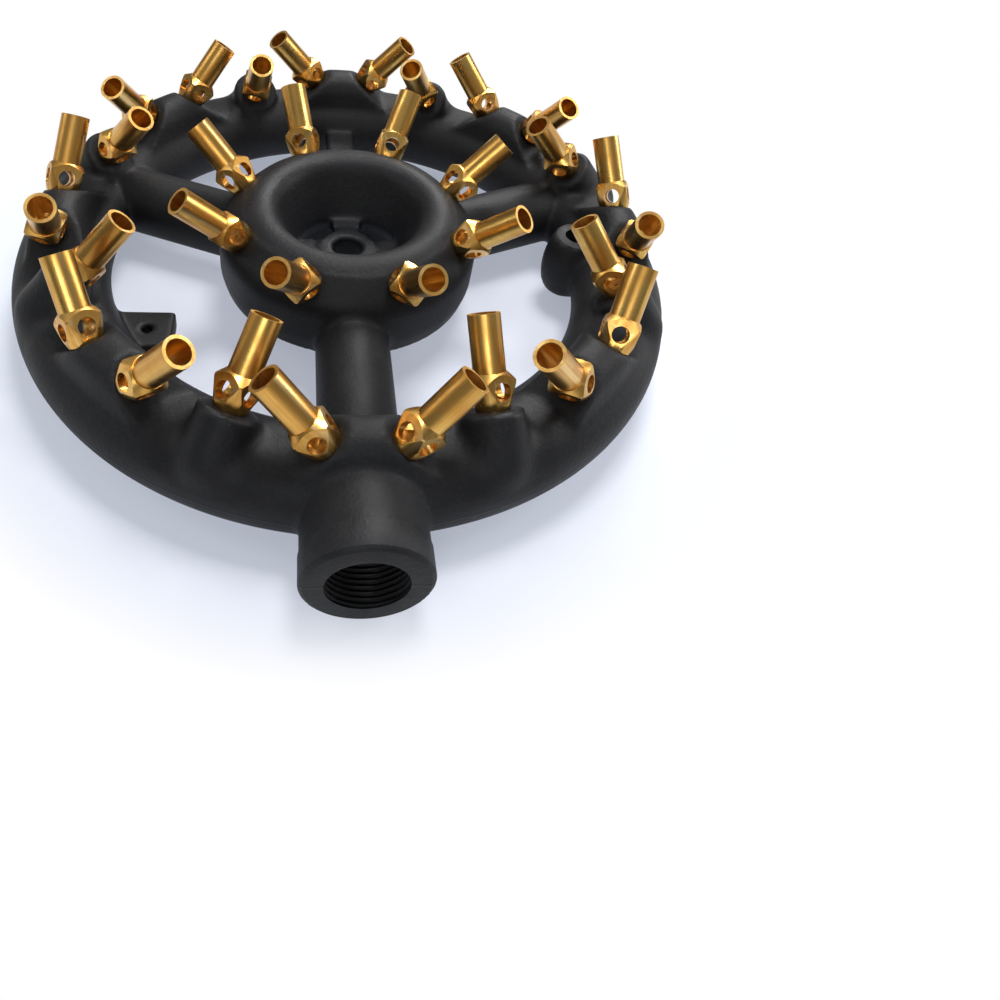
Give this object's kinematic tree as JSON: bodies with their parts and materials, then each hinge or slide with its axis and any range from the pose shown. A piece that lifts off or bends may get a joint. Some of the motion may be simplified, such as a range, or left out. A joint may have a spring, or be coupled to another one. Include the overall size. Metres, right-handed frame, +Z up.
{
  "type": "jet burner",
  "caption": "High-output gas burner: a hollow cast-iron ring and hub on round spokes, with crossed brass jets screwed in and a threaded side inlet.",
  "frame": {"origin": "centre of the hub's through hole, on the mould's parting plane that halves the ring, spokes and inlet", "axes": "+Z up, the way the flames rise, along the ring's axis; -Y towards the gas inlet; +X to the right seen from the inlet, towards the side boss"},
  "size_m": [0.309, 0.3311, 0.0808],
  "materials": {
    "iron": "matte black, fine sand-cast skin",
    "brass": "turned and milled, bright"
  },
  "bodies": {
    "root": {"burner_casting": "iron", "outer_jet_01": "brass", "outer_jet_02": "brass", "outer_jet_03": "brass", "outer_jet_04": "brass", "outer_jet_05": "brass", "outer_jet_06": "brass", "outer_jet_07": "brass", "outer_jet_08": "brass", "outer_jet_09": "brass", "outer_jet_10": "brass", "outer_jet_11": "brass", "outer_jet_12": "brass", "outer_jet_13": "brass", "outer_jet_14": "brass", "outer_jet_15": "brass", "outer_jet_16": "brass", "outer_jet_17": "brass", "outer_jet_18": "brass", "outer_jet_19": "brass", "outer_jet_20": "brass", "outer_jet_21": "brass", "outer_jet_22": "brass", "outer_jet_23": "brass", "outer_jet_24": "brass", "inner_jet_1": "brass", "inner_jet_2": "brass", "inner_jet_3": "brass", "inner_jet_4": "brass", "inner_jet_5": "brass", "inner_jet_6": "brass", "inner_jet_7": "brass", "inner_jet_8": "brass"}
  },
  "joints": []
}
